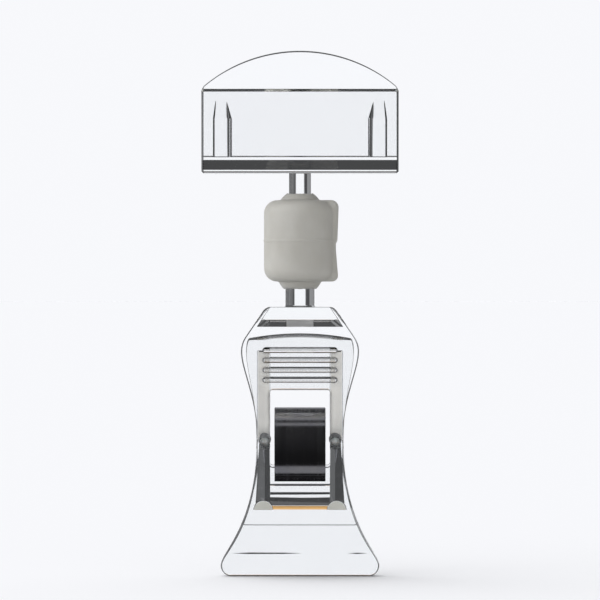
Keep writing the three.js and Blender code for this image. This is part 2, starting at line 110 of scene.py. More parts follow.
# Joining and finishing
EMBED = 0.6  # how far a feature is sunk into the wall that carries it
WELD = 1e-4  # points closer than this become one
ON_PLANE = 0.01  # how near a plane a face's centre has to be to lie on it
ON_BALL = 0.05  # and how near a ball
SQUARE = 0.99  # the least part of a normal along an axis that a face is square to
FACING_DOWN = -0.3  # the most of a normal's Z on a face that looks down

# Jaws, seen from the front
CLIP_TOP = 68.3
JAW_CORNER = 2.8
FLARE_START = 6.0
FLARE_END = 13.0
LEVER_FLARE_END = 11.4
WAIST_HALF = 10.95
WAIST_BLEND = 10.5
SHOULDER_HALF = 15.0
SHOULDER_Z = 57.0
SHOULDER_BLEND = 5.0
SHOULDER_RISE = 2.0
TOP_HALF = 8.7
TOP_CORNER = 1.3
LEVER_ARCH = 1.15
LEVER_SHOULDER_HALF = 13.5
LEVER_TOP_HALF = 12.4

# Jaws, seen from the side
REAR_INNER = 0.15
JAW_WALL = 2.2
REAR_OUTER = REAR_INNER + JAW_WALL
PAD_HEIGHT = 13.2
PAD_EXTRA = 0.4
LEAN = math.tan(math.radians(16))
BEND = 0.5  # half the height of the lever's soft bend above the pad
BEND_CUTS = 4
GROOVE_Z = 5.8
GROOVE_DEPTH = 0.25
GROOVE_HALF_HEIGHT = 0.2
# Places along X, and how much of its depth the groove has there: it fades right of the middle.
GROOVE_RUN = [(-17, 0.05), (-13, 1), (-4, 0.8), (1.5, -0.2), (11.5, -0.2), (14.5, 0.8), (17, 0.05)]

# Hinge, ribs, window and ridges
KNUCKLE = 1.6
CLEARANCE = 0.3
RIB_WIDTH = 3.3
RIB_OUTER = WAIST_HALF - 0.1
LEVER_RIB_WIDTH = 2.7
LEVER_RIB_RISE = 1.65  # of the shallow ribs above the hinge
LEVER_RIB_FLARE = 1.1  # how much further out they stand at their feet
LEVER_RIB_ROOF = math.tan(math.radians(33))
RIB_HEAD = LEVER_TOP - 4.2
RIB_FOOT = PAD_HEIGHT + 3.9
RIB_BACK = REAR_INNER - 0.5
VEE = math.tan(math.radians(40))
CROSS_RIB = 3.0
CROSS_LAND = 1.2
CROSS_LAND_LEAN = math.tan(math.radians(14))
LAND_SINK = 0.02  # how far the land's middle is hollow, as the plastic shrinks
EJECTOR_PAD = 2.5
EJECTOR_PAD_X = 9.3
WINDOW_HALF = RIB_OUTER - RIB_WIDTH
KNUCKLE_X = WINDOW_HALF + LEVER_RIB_WIDTH / 2
WINDOW_TOP = 47.4
WINDOW_CORNER = 0.6
SEAT_LAND = 2.6
RIDGES = 4
RIDGE_PITCH = 2.5
RIDGE_TOP = LEVER_TOP - 4.1
RIDGE = 0.9
RIDGE_SUNK = 0.55  # how deep a ridge's middle lies in the wall
RIDGE_HALF = RIB_OUTER - 1.25

# Clamp spring
SPRING_RADIUS = 9.3
STRIP = 0.6
SPRING_CENTRE = Vector((HINGE.y - 0.5, HINGE.z - 1.2))
LIP = 0.95
LIP_CURL = math.radians(115)
SPRING_STOP = 0.5
STOP_HALF = 0.33
REAR_STOP_ROOM = 2.4  # where the rear lip creeps down as the jaws open

# Stem block and balls
BLOCK_HEIGHT = 3.3
BLOCK_SLOPE = 1.8
BLOCK_INSET = 1.1
GATE_HALF = 3.4  # of the rough patch under the stem
BALL = 4.5
LOWER_STEM = 3.7
STEM_FILLET = 0.4
BLOCK_HALF_DEPTH = LOWER_STEM + STEM_FILLET + 0.2
UPPER_STEM = 2.8

# Connector
SOCKET = BALL + CLEARANCE
DOME = SOCKET + 1.06
BARREL = 9.15
BARREL_CORNER = 3.3
BARREL_OVER = 3.1  # how far the barrel runs above the upper ball's centre
BARREL_UNDER = 2.25  # and below the lower one's
TAB_HEAD_REACH = 9.8
TAB_HEAD_CORNER = 1.9
TAB_FOOT_REACH = 9.65
TAB_FOOT_CORNER = 1.5
TAB_WAIST_REACH = 9.5
TAB_NOTCH_REACH = 9.0
TAB_NOTCH = 0.9
TAB_THICKNESS = 8.0
TAB_EDGE = 1.4
SEAM_BEAD = 0.2
CONNECTOR_VOXEL = 0.2
CONNECTOR_SMOOTHING = 4

# Card grip, with heights above its foot
GRIP_FOOT = 102.2
GRIP_HALF_DEPTH = 3.0
KEEL_CHAMFER = 0.6
KEEL_LIP = 0.95
KEEL_HEIGHT = 3.5
KEEL_BACK = 4.8
KEEL_EDGE = 0.15
GRIP_END = 0.45  # bevel of the rims at the grip's ends
WEB_HEIGHT = 4.1
SLOT_CORNER = 0.4
PLATE_FOOT = 1.8
PLATE_TIP = 1.4
FRONT_PLATE = 21.4
BACK_PLATE_SIDE = 21.9
BACK_PLATE = GRIP_TOP - GRIP_FOOT
LEAD_IN = 0.7
FRONT_RIM = 0.5
SLOT_HALF = GRIP_HALF_DEPTH - PLATE_FOOT
MOUTH_HALF = GRIP_HALF_DEPTH - PLATE_TIP
FINGER_HALF = 2.4
FINGER_DEPTH = 1.9
FINGER_X = 19.7
FINGER_STEEP = 0.5  # width of a finger's steep outer side
FINGER_ROUND = 2.2  # and of its round inner side
FINGER_SHOULDER = 13.8
FINGER_HEIGHT = 18.8
FINGER_SLIM = 0.44  # share of its width that a finger loses at its tip
FINGER_SHIFT = 0.35  # how far its tip leans outwards
FINGER_SINK = 0.1  # how far its tip sinks into the plate
FINGER_STEPS = 16

# Slots of the jaws' materials
CLEAR, FROSTED, SCUFFED, STIPPLED = range(4)

# Surfaces, with heights of bump in millimetres
NOISE_LOW, NOISE_HIGH = 0.35, 0.65  # where most of a noise texture's values lie
CLEAR_IOR = 1.52
CLEAR_HAZE = 0.04
CLEAR_RIPPLE = 0.02
FROST_GRAIN = 0.02
MILKY_GRAIN = 0.02
STEEL_STREAK = 0.001


# Curves

def arc(u, v, radius, start, end, steps=ARC_STEPS):
    """Points of a circle about (u, v), from one angle to another, in degrees."""
    turns = [math.radians(start + (end - start) * i / steps) for i in range(steps + 1)]
    return [(u + radius * math.cos(t), v + radius * math.sin(t)) for t in turns]


def bezier(*controls):
    """Points of a Bezier curve, without its first one."""
    points = []
    degree = len(controls) - 1
    for i in range(1, CURVE_STEPS + 1):
        t = i / CURVE_STEPS
        weights = [math.comb(degree, k) * t**k * (1 - t) ** (degree - k) for k in range(degree + 1)]
        points.append(tuple(sum(w * c[axis] for w, c in zip(weights, controls)) for axis in (0, 1)))
    return points


def mirror_image(right):
    """Closes a path drawn up the right side, from the axis to the axis, with its mirror image."""
    return right + [(-u, v) for u, v in reversed(right[1:-1])]


def offset(loop, distances):
    """A closed loop with each point moved to its left by a distance."""
    moved = []
    for i, (point, distance) in enumerate(zip(loop, distances)):
        here = Vector(point)
        before = (here - Vector(loop[i - 1])).normalized()
        after = (Vector(loop[(i + 1) % len(loop)]) - here).normalized()
        normals = Vector((-before.y, before.x)), Vector((-after.y, after.x))
        miter = (normals[0] + normals[1]) / (1 + normals[0].dot(normals[1]))
        moved.append(tuple(here + miter * distance))
    return moved


def filleted(corners):
    """A closed loop with its corners, given as (u, v, radius), rounded off."""
    loop = []
    for i, (u, v, radius) in enumerate(corners):
        here = Vector((u, v))
        back = Vector(corners[i - 1][:2]) - here
        ahead = Vector(corners[(i + 1) % len(corners)][:2]) - here
        half = back.angle(ahead) / 2
        if radius == 0 or half > NEARLY_STRAIGHT:
            loop.append((u, v))
            continue
        room = FILLET_LIMIT * min(back.length, ahead.length)
        reach = min(radius / math.tan(half), room)
        first = here + back.normalized() * reach
        last = here + ahead.normalized() * reach
        middle = here + (back.normalized() + ahead.normalized()).normalized() * reach / math.cos(half)
        spoke = first - middle
        for k in range(FILLET_STEPS + 1):
            turned = spoke.slerp(last - middle, k / FILLET_STEPS)
            loop.append(tuple(middle + turned.normalized() * spoke.length))
    return loop


# Solids

# These three put a point (u, v) of a drawing, at the depth w along an axis, into space.
def along_x(u, v, w):
    return Vector((w, u, v))


def along_y(u, v, w):
    return Vector((u, w, v))


def along_z(u, v, w):
    return Vector((u, v, w))


def rim_profile(edge):
    """Insets that round off a prism's rims, with their rise from its low end (0) or high end (1)."""
    if edge == 0:
        return [(0, 0, 0), (0, 0, 1)]
    turns = [math.pi / 2 * i / RIM_STEPS for i in range(RIM_STEPS + 1)]
    rim = [(edge * (1 - math.sin(t)), edge * (1 - math.cos(t))) for t in turns]
    return [(*step, 0) for step in rim] + [(*step, 1) for step in reversed(rim)]


def skin(bm, rings):
    """Joins closed rings of vertices, each to the next, with a band of faces."""
    for lower, upper in zip(rings, rings[1:]):
        for i in range(len(lower)):
            j = (i + 1) % len(lower)
            bm.faces.new((lower[i], lower[j], upper[j], upper[i]))


def cap(bm, rings):
    """Closes an outline, with any holes in it, with flat faces."""
    corners = [vertex for ring in rings for vertex in ring]
    for triangle in tessellate_polygon([[vertex.co for vertex in ring] for ring in rings]):
        bm.faces.new([corners[i] for i in triangle])


def loft(sections):
    """A solid through closed sections of points, with flat ends."""
    bm = bmesh.new()
    rings = [[bm.verts.new(point) for point in section] for section in sections]
    skin(bm, rings)
    cap(bm, rings[:1])
    cap(bm, rings[-1:])
    bmesh.ops.recalc_face_normals(bm, faces=bm.faces)
    return bm


def prism(loops, low, high, edge, place, share=lambda u, v: 1):
    """A solid with one outline and any holes, drawn with the material on their left.

    Its rims are rounded, with the share of the edge's radius that is asked for at each point.
    """
    bm = bmesh.new()
    ends = [], []
    for loop in loops:
        shares = [share(u, v) for u, v in loop]
        rings = []
        for inset, rise, end in rim_profile(edge):
            moved = offset(loop, [inset * part for part in shares])
            depths = [low + rise * part if end == 0 else high - rise * part for part in shares]
            rings.append([bm.verts.new(place(u, v, w)) for (u, v), w in zip(moved, depths)])
        skin(bm, rings)
        ends[0].append(rings[0])
        ends[1].append(rings[-1])
    for end in ends:
        cap(bm, end)
    bmesh.ops.recalc_face_normals(bm, faces=bm.faces)
    return bm


def revolve(profile, centre):
    """A profile of radius and height, from the axis to the axis, turned about the vertical."""
    bm = bmesh.new()
    rings = []
    for radius, z in profile[1:-1]:
        turns = [2 * math.pi * i / ROUND_STEPS for i in range(ROUND_STEPS)]
        rings.append([bm.verts.new((radius * math.cos(t), radius * math.sin(t), z)) for t in turns])
    skin(bm, rings)
    for ring, (_, z) in ((rings[0], profile[0]), (rings[-1], profile[-1])):
        pole = bm.verts.new((0, 0, z))
        for i in range(ROUND_STEPS):
            bm.faces.new((ring[i], ring[(i + 1) % ROUND_STEPS], pole))
    bmesh.ops.recalc_face_normals(bm, faces=bm.faces)
    bmesh.ops.translate(bm, verts=bm.verts, vec=centre)
    return bm


def ball(radius, x, y, z):
    return revolve(arc(0, 0, radius, -90, 90, BALL_STEPS), (x, y, z))


def capsule(radius, half_length, y, z):
    """A bar with round ends along X."""
    reach = half_length - radius
    profile = [(r, w - reach) for r, w in arc(0, 0, radius, -90, 0, BAR_END_STEPS)]
    profile += [(r, w + reach) for r, w in arc(0, 0, radius, 0, 90, BAR_END_STEPS)]
    bm = revolve(profile, (0, 0, 0))
    bmesh.ops.rotate(bm, verts=bm.verts, matrix=Matrix.Rotation(math.pi / 2, 3, "Y"))
    bmesh.ops.translate(bm, verts=bm.verts, vec=(0, y, z))
    return bm


def mirrored(bm):
    """A solid turned into its mirror image, left for right."""
    bmesh.ops.scale(bm, verts=bm.verts, vec=(-1, 1, 1))
    bmesh.ops.reverse_faces(bm, faces=bm.faces)
    return bm


def slice_at(bm, at, normal):
    """Cuts the faces of a solid along a plane, and keeps both sides."""
    everything = bm.verts[:] + bm.edges[:] + bm.faces[:]
    bmesh.ops.bisect_plane(bm, geom=everything, plane_co=at, plane_no=normal)


def new_object(name, bm):
    """An object in the scene that takes over a solid."""
    mesh = bpy.data.meshes.new(name)
    bm.to_mesh(mesh)
    bm.free()
    made = bpy.data.objects.new(name, mesh)
    bpy.context.scene.collection.objects.link(made)
    return made


def temporary(bm):
    """An object that holds a solid while it is joined, cut or remeshed."""
    return new_object("temporary", bm)


def evaluated(held, tools=()):
    """The solid that an object's modifiers make of it. The object and its tools are deleted."""
    depsgraph = bpy.context.evaluated_depsgraph_get()
    mesh = bpy.data.meshes.new_from_object(held.evaluated_get(depsgraph))
    bm = bmesh.new()
    bm.from_mesh(mesh)
    bpy.data.meshes.remove(mesh)
    for spent in (held, *tools):
        bpy.data.meshes.remove(spent.data)
    return bm


def combine(base, joined=(), cut=(), kept=()):
    """Joins solids to a base, cuts others from it and keeps what lies inside the last ones."""
    held = temporary(base)
    tools = []
    for operation, solids in (("UNION", joined), ("DIFFERENCE", cut), ("INTERSECT", kept)):
        for solid in solids:
            tools.append(temporary(solid))
            step = held.modifiers.new(operation, "BOOLEAN")
            step.operation = operation
            step.solver = "MANIFOLD"
            step.object = tools[-1]
    return evaluated(held, tools)


def soften(bm, radius):
    """Rounds off the sharp outer edges of a solid."""
    bmesh.ops.dissolve_limit(bm, angle_limit=MERGED, verts=bm.verts, edges=bm.edges)
    sharp = [edge for edge in bm.edges if edge.calc_face_angle_signed() > SHARP]
    bmesh.ops.bevel(bm, geom=sharp, offset=radius, segments=BEVEL_STEPS, profile=0.5, affect="EDGES")
    return bm


def finish(bm, slot_at):
    """Gives each face the material slot that its centre and normal call for."""
    for face in bm.faces:
        face.material_index = slot_at(face.calc_center_median(), face.normal)
    return bm


def from_knuckle(at):
    """How far a point is from the nearer knuckle's centre."""
    return Vector((abs(at.x) - KNUCKLE_X, at.y - HINGE.y, at.z - HINGE.z)).length


def piece(name, bm, materials, smooth_angle=SMOOTH_ANGLE):
    """A finished object in metres, with smooth normals that keep its flat faces flat."""
    bmesh.ops.remove_doubles(bm, verts=bm.verts, dist=WELD)
    bmesh.ops.scale(bm, verts=bm.verts, vec=(MM, MM, MM))
    made = new_object(name, bm)
    made.data.shade_smooth()
    made.data.set_sharp_from_angle(angle=math.radians(smooth_angle))
    for material in materials:
        made.data.materials.append(material)
    weighted = made.modifiers.new("flat faces stay flat", "WEIGHTED_NORMAL")
    weighted.keep_sharp = True
    return made


# Outlines of the jaws

def jaw_flank(flare_end):
    right = [(0.0, 0.0)]
    right += arc(JAW_HALF - JAW_CORNER, JAW_CORNER, JAW_CORNER, -90, 0)
    right += bezier(right[-1], (JAW_HALF, FLARE_START), (WAIST_HALF, flare_end), (WAIST_HALF, HINGE.z))
    return right


def flank_to(half, flare_end):
    right = jaw_flank(flare_end)
    leaving = (WAIST_HALF, HINGE.z + WAIST_BLEND)
    arriving = (half, SHOULDER_Z - SHOULDER_BLEND)
    return right + bezier(right[-1], leaving, arriving, (half, SHOULDER_Z))


def rear_outline():
    right = flank_to(SHOULDER_HALF, FLARE_END)
    shoulder = Vector((SHOULDER_HALF, SHOULDER_Z + SHOULDER_RISE))
    top = Vector((TOP_HALF, CLIP_TOP))
    slope = (top - shoulder).normalized()
    right += bezier(right[-1], shoulder, shoulder + slope * SHOULDER_RISE)
    before_top = top - slope * TOP_CORNER
    right.append(tuple(before_top))
    right += bezier(before_top, top, (TOP_HALF - TOP_CORNER, CLIP_TOP))
    return mirror_image(right + [(0.0, CLIP_TOP)])


def lever_outline():
    right = flank_to(LEVER_SHOULDER_HALF, LEVER_FLARE_END)
    corner = LEVER_TOP - LEVER_ARCH
    right += bezier(right[-1], (LEVER_SHOULDER_HALF, corner), (LEVER_TOP_HALF, corner))
    right += bezier(right[-1], (LEVER_TOP_HALF / 2, LEVER_TOP), (0.0, LEVER_TOP))
    return mirror_image(right)


def pad_outline():
    right = [point for point in jaw_flank(FLARE_END) if point[1] < PAD_HEIGHT]
    return mirror_image(right + [(right[-1][0], PAD_HEIGHT), (0.0, PAD_HEIGHT)])


# Seats of the spring

def lip_centre(on_face, up, normal):
    """Where a lip's centre lies, below the hinge, so that it bears on a wall's outer face."""
    stand = LIP + STRIP / 2 + CLEARANCE
    reach = SPRING_RADIUS - STRIP / 2 + LIP
    start = on_face + normal * stand - SPRING_CENTRE
    along = start.dot(up)
    below = -along - math.sqrt(along**2 - start.length_squared + reach**2)
    return start + up * below + SPRING_CENTRE


def lever_inner(z):
    return -REAR_INNER - max(0.0, z - PAD_HEIGHT) * LEAN


LEVER_DEPTH = JAW_WALL * math.hypot(1, LEAN)


def lever_outer(z):
    return lever_inner(z) - LEVER_DEPTH


LEVER_UP = Vector((-LEAN, 1)).normalized()
FRONT_LIP = lip_centre(
    Vector((lever_outer(HINGE.z), HINGE.z)), LEVER_UP, Vector((-LEVER_UP.y, LEVER_UP.x))
)
REAR_LIP = lip_centre(Vector((REAR_OUTER, HINGE.z)), Vector((0, 1)), Vector((1, 0)))


# Features that both jaws have

def window_loop(lip):
    foot = lip.y + SEAT_LAND
    left, right = -WINDOW_HALF, WINDOW_HALF
    corners = [(left, foot), (left, WINDOW_TOP), (right, WINDOW_TOP), (right, foot)]
    return filleted([(u, v, WINDOW_CORNER) for u, v in corners])


def at_window_foot(x, z):
    return abs(x) < WINDOW_HALF + ON_PLANE and PAD_HEIGHT < z < HINGE.z - KNUCKLE


def rear_rim(x, z):
    return SLIM_RIM if at_window_foot(x, z) else 1


def spring_stop(lip, room, face_at, outward):
    """A low ridge under the spring's lip."""
    z = lip.y - LIP - STRIP / 2 - CLEARANCE - room - SPRING_STOP
    low, high = z - STOP_HALF, z + STOP_HALF
    section = [
        (face_at(low) - outward * EMBED, low),
        (face_at(low), low),
        (face_at(z) + outward * STOP_HALF, z),
        (face_at(high), high),
        (face_at(high) - outward * EMBED, high),
    ]
    return prism([section], -WINDOW_HALF, WINDOW_HALF, 0, along_x)


def finger_ridges(face_at, outward):
    heights = [RIDGE_TOP - i * RIDGE_PITCH for i in range(RIDGES)]
    return [capsule(RIDGE, RIDGE_HALF, face_at(z) - outward * RIDGE_SUNK, z) for z in heights]


def both_sides(make):
    return [make(), mirrored(make())]


def pad_groove(y, towards):
    """A shallow vee across the gripping face at y, cut towards the wall behind it."""
    sections = []
    for x, share in GROOVE_RUN:
        mouth = y - towards * GROOVE_DEPTH
        bottom = y + towards * GROOVE_DEPTH * share
        spread = GROOVE_HALF_HEIGHT * (1 + share)
        low, high = GROOVE_Z - spread, GROOVE_Z + spread
        sections.append([(x, mouth, low), (x, bottom, GROOVE_Z), (x, mouth, high)])
    return loft(sections)


# Rear jaw

def stem_block():
    low = CLIP_TOP - BLOCK_HEIGHT
    foot = low - BLOCK_SLOPE
    section = [
        (REAR_INNER, foot),
        (REAR_OUTER, foot),
        (STEM_Y + BLOCK_HALF_DEPTH, low),
        (STEM_Y + BLOCK_HALF_DEPTH, CLIP_TOP),
        (STEM_Y - BLOCK_HALF_DEPTH, CLIP_TOP),
        (STEM_Y - BLOCK_HALF_DEPTH, low),
    ]
    flare = (SHOULDER_HALF - TOP_HALF) / (CLIP_TOP - SHOULDER_Z - SHOULDER_RISE)
    top_half = TOP_HALF - BLOCK_INSET
    foot_half = top_half + flare * (CLIP_TOP - foot)
    front = [(-foot_half, foot), (foot_half, foot), (top_half, CLIP_TOP), (-top_half, CLIP_TOP)]
    depth = BLOCK_HALF_DEPTH + EMBED
    block = prism([section], -foot_half, foot_half, 0, along_x)
    block = combine(block, kept=[prism([front], STEM_Y - depth, STEM_Y + depth, 0, along_y)])
    soften(block, RIB_EDGE)
    for x in (-GATE_HALF, GATE_HALF):
        slice_at(block, (x, 0, 0), (1, 0, 0))
    return block


def lower_ball_stem():
    middle = LOWER_BALL.z - CLIP_TOP
    neck = math.degrees(math.acos(LOWER_STEM / BALL))
    root = LOWER_STEM + STEM_FILLET
    profile = [(0, -BLOCK_HEIGHT), (root, -BLOCK_HEIGHT)]
    profile += arc(root, STEM_FILLET, STEM_FILLET, -90, -180, FILLET_STEPS)
    profile += arc(0, middle, BALL, -neck, 90, FINE_ARC_STEPS)
    return revolve(profile, (0, STEM_Y, CLIP_TOP))


def rear_rib():
    """An upright rib, which ends at the hinge in a round knuckle."""
    back = REAR_INNER + EMBED
    section = [(HINGE.y, HINGE.z), (back, HINGE.z), (back, RIB_HEAD), (HINGE.y, RIB_HEAD)]
    rib = soften(prism([section], WINDOW_HALF, RIB_OUTER, 0, along_x), RIB_EDGE)
    return combine(rib, joined=[ball(KNUCKLE, KNUCKLE_X, HINGE.y, HINGE.z)])


def rear_finish(at, normal):
    """Frosted on the ribs beside the window, scuffed on the knuckles and stippled under the stem."""
    on_rib = abs(at.x) > WINDOW_HALF and HINGE.z < at.z < RIB_HEAD and abs(at.y - HINGE.y) < ON_PLANE
    if on_rib and abs(normal.y) > SQUARE:
        return FROSTED
    at_gate = abs(at.x) < GATE_HALF and 0 < CLIP_TOP - BLOCK_HEIGHT - at.z < BLOCK_SLOPE
    if at_gate and normal.z < FACING_DOWN:
        return STIPPLED
    return SCUFFED if abs(from_knuckle(at) - KNUCKLE) < ON_BALL else CLEAR


def rear_outer(_):
    """The outer face of the rear jaw, which is upright and so the same at every height."""
    return REAR_OUTER


def rear_jaw(materials):
    loops = [rear_outline(), window_loop(REAR_LIP)]
    plate = prism(loops, REAR_INNER, REAR_OUTER, RIM, along_y, rear_rim)
    pad = prism([pad_outline()], REAR_INNER + RIM, REAR_OUTER + PAD_EXTRA, PAD_EXTRA, along_y)
    stop = spring_stop(REAR_LIP, REAR_STOP_ROOM, rear_outer, 1)
    joined = [pad, stem_block(), lower_ball_stem(), stop]
    joined += both_sides(rear_rib) + finger_ridges(rear_outer, 1)
    cut = [pad_groove(REAR_INNER, 1)]
    jaw = finish(combine(plate, joined, cut), rear_finish)
    return piece("rear_jaw_moulding", jaw, materials)


# Front jaw

def lean_back(bm):
    """Bends a flat plate into the upright pad and the leaning lever."""
    for i in range(BEND_CUTS + 1):
        z = PAD_HEIGHT - BEND + 2 * BEND * i / BEND_CUTS
        slice_at(bm, (0, 0, z), (0, 0, 1))
    for vertex in bm.verts:
        over = vertex.co.z - PAD_HEIGHT
        share = min(max((over + BEND) / (2 * BEND), 0), 1)
        shift = LEAN * (share * share * BEND + max(0, over - BEND))
        depth = -REAR_INNER - vertex.co.y
        vertex.co.y = -REAR_INNER - shift - depth * math.hypot(1, LEAN * share)
    return bm


def lever_rim(x, z):
    """The share of the rims' radius on the lever: slim at its sides and full along its top."""
    if at_window_foot(x, z):
        return SLIM_RIM
    for (low, first), (high, second) in zip(LEVER_RIMS, LEVER_RIMS[1:]):
        if z <= high:
            return first + (second - first) * (z - low) / (high - low)
    return LEVER_RIMS[-1][1]


def lever_rib():
    rise = LEVER_RIB_RISE * math.hypot(1, LEAN)
    vee_y = HINGE.y - CLEARANCE
    vee_foot = HINGE.z - CLEARANCE
    vee_height = (vee_y - lever_inner(vee_foot) - rise) / (VEE - LEAN)
    section = [
        (lever_inner(RIB_FOOT) - EMBED, RIB_FOOT),
        (RIB_BACK, RIB_FOOT),
        (RIB_BACK, vee_foot),
        (vee_y, vee_foot),
        (vee_y - vee_height * VEE, vee_foot + vee_height),
        (lever_inner(RIB_HEAD) + rise, RIB_HEAD),
        (lever_inner(RIB_HEAD) - EMBED, RIB_HEAD),
    ]
    # Seen from the front, the rib spreads towards its foot.
    outer = WINDOW_HALF + LEVER_RIB_WIDTH
    front = [
        (WINDOW_HALF, RIB_FOOT),
        (outer + LEVER_RIB_FLARE, RIB_FOOT),
        (outer, HINGE.z),
        (outer, RIB_HEAD),
        (WINDOW_HALF, RIB_HEAD),
    ]
    # Seen from above, it narrows to an edge like a roof where it nears the rear jaw.
    reach = LEVER_RIB_WIDTH / 2 + LEVER_RIB_FLARE
    left, right = KNUCKLE_X - reach, KNUCKLE_X + reach
    eaves = RIB_BACK - reach * LEVER_RIB_ROOF
    fore = lever_outer(RIB_HEAD)
    roof = [(left, fore), (right, fore), (right, eaves), (KNUCKLE_X, RIB_BACK), (left, eaves)]
    rib = soften(prism([section], left, right, 0, along_x), RIB_EDGE)
    kept = [prism([front], fore, 0, 0, along_y), prism([roof], 0, CLIP_TOP, 0, along_z)]
    return combine(rib, kept=kept)


def cross_rib():
    """A wedge across the lever, with a narrow land along its foot."""
    land = RIB_FOOT + CROSS_LAND
    head = RIB_FOOT + CROSS_RIB
    back_at_foot = RIB_BACK - CROSS_LAND * CROSS_LAND_LEAN
    sunk = ((back_at_foot + RIB_BACK) / 2 - LAND_SINK, RIB_FOOT + CROSS_LAND / 2)
    foot = (back_at_foot, RIB_FOOT)
    side = [(lever_inner(RIB_FOOT) - EMBED, RIB_FOOT), foot]
    side += bezier(foot, sunk, (RIB_BACK, land))
    side += [(lever_inner(head), head), (lever_inner(head) - EMBED, head)]
    return prism([side], -RIB_OUTER, RIB_OUTER, 0, along_x)


def ejector_pads():
    """Half-round moulding pads at the feet of the lever's ribs."""
    front = lever_inner(RIB_FOOT + EJECTOR_PAD) - EMBED
    pads = []
    for x in (-EJECTOR_PAD_X, EJECTOR_PAD_X):
        half = arc(x, RIB_FOOT, EJECTOR_PAD, 0, 180, FINE_ARC_STEPS)
        pads.append(prism([half], front, RIB_BACK, RIB_EDGE, along_y))
    return pads


def lever_finish(at, normal):
    """Frosted on the ejector pads, and scuffed in the hinge sockets."""
    beside = abs(at.x) > EJECTOR_PAD_X - EJECTOR_PAD
    on_pad = beside and RIB_FOOT < at.z < RIB_FOOT + EJECTOR_PAD and abs(at.y - RIB_BACK) < ON_PLANE
    if on_pad and abs(normal.y) > SQUARE:
        return FROSTED
    return SCUFFED if abs(from_knuckle(at) - KNUCKLE - CLEARANCE) < ON_BALL else CLEAR


def front_jaw(materials):
    loops = [lever_outline(), window_loop(FRONT_LIP)]
    plate = lean_back(prism(loops, -REAR_INNER - JAW_WALL, -REAR_INNER, RIM, along_y, lever_rim))
    sockets = [ball(KNUCKLE + CLEARANCE, x, HINGE.y, HINGE.z) for x in (-KNUCKLE_X, KNUCKLE_X)]
    ribs = combine(cross_rib(), both_sides(lever_rib) + ejector_pads(), sockets)
    joined = [ribs, spring_stop(FRONT_LIP, 0, lever_outer, -1)] + finger_ridges(lever_outer, -1)
    cut = [pad_groove(-REAR_INNER, -1)]
    jaw = finish(combine(plate, joined, cut), lever_finish)
    return piece("front_jaw_moulding", jaw, materials)


# Clamp spring

def clamp_spring(material):
    """A round bow between two rolled lips, as a strip that is drawn from the side."""
    half = STRIP / 2
    front_turn = FRONT_LIP - SPRING_CENTRE
    rear_turn = REAR_LIP - SPRING_CENTRE
    front_end = math.atan2(front_turn.y, front_turn.x) % (2 * math.pi)
    rear_end = math.atan2(rear_turn.y, rear_turn.x) % (2 * math.pi) - 2 * math.pi
    strip = []

    def follow(centre, radius, start, end, steps, outward):
        if strip:
            strip.pop()
        for u, v in arc(centre.x, centre.y, radius, math.degrees(start), math.degrees(end), steps):
            strip.append((Vector((u, v)), (Vector((u, v)) - centre).normalized() * outward))

    follow(FRONT_LIP, LIP, front_end - math.pi - LIP_CURL, front_end - math.pi, LIP_STEPS, -1)
    follow(SPRING_CENTRE, SPRING_RADIUS - half, front_end, rear_end, BOW_STEPS, 1)
    follow(REAR_LIP, LIP, rear_end + math.pi, rear_end + math.pi + LIP_CURL, LIP_STEPS, -1)
    outside = [tuple(at + normal * half) for at, normal in strip]
    inside = [tuple(at - normal * half) for at, normal in strip]
    section = inside + outside[::-1]
    solid = prism([section], -SPRING_HALF, SPRING_HALF, STRIP_EDGE, along_x)
    return piece("clamp_spring_strip", solid, [material])


# Connector

def connector_tab(foot, head, seam):
    """A tab down one side, notched just under the seam."""
    loop = [(0.0, foot)]
    loop += arc(TAB_FOOT_REACH - TAB_FOOT_CORNER, foot + TAB_FOOT_CORNER, TAB_FOOT_CORNER, -90, 0)
    loop += [(TAB_NOTCH_REACH, seam - TAB_NOTCH), (TAB_WAIST_REACH, seam)]
    loop += arc(TAB_HEAD_REACH - TAB_HEAD_CORNER, head - TAB_HEAD_CORNER, TAB_HEAD_CORNER, 0, 90)
    loop += [(0.0, head)]
    half = TAB_THICKNESS / 2
    tab = prism([loop], -half, half, TAB_EDGE, along_y)
    bmesh.ops.translate(tab, verts=tab.verts, vec=(0, STEM_Y, 0))
    return tab


def socket_hollow(z, mouth, opens):
    """A ball's socket, with a mouth that opens up (1) or down (-1)."""
    low, high = sorted((z, z + opens * 2 * DOME))
    hollow = combine(ball(SOCKET, 0, 0, z), joined=[prism([mouth], low, high, 0, along_z)])
    bmesh.ops.translate(hollow, verts=hollow.verts, vec=(0, STEM_Y, 0))
    return hollow


def slot_mouth():
    """A slot, tight across the upper stem and long enough behind it for the grip to lean back."""
    end = UPPER_STEM + CLEARANCE
    stem_edge = math.asin((UPPER_STEM + CLEARANCE / 2) / DOME)
    back = DOME * math.sin(stem_edge + TILT_BACK) - end
    forward = DOME * math.sin(stem_edge + TILT_FORWARD) - end
    return arc(0, back, end, 0, 180, FINE_ARC_STEPS) + arc(0, -forward, end, 180, 360, FINE_ARC_STEPS)


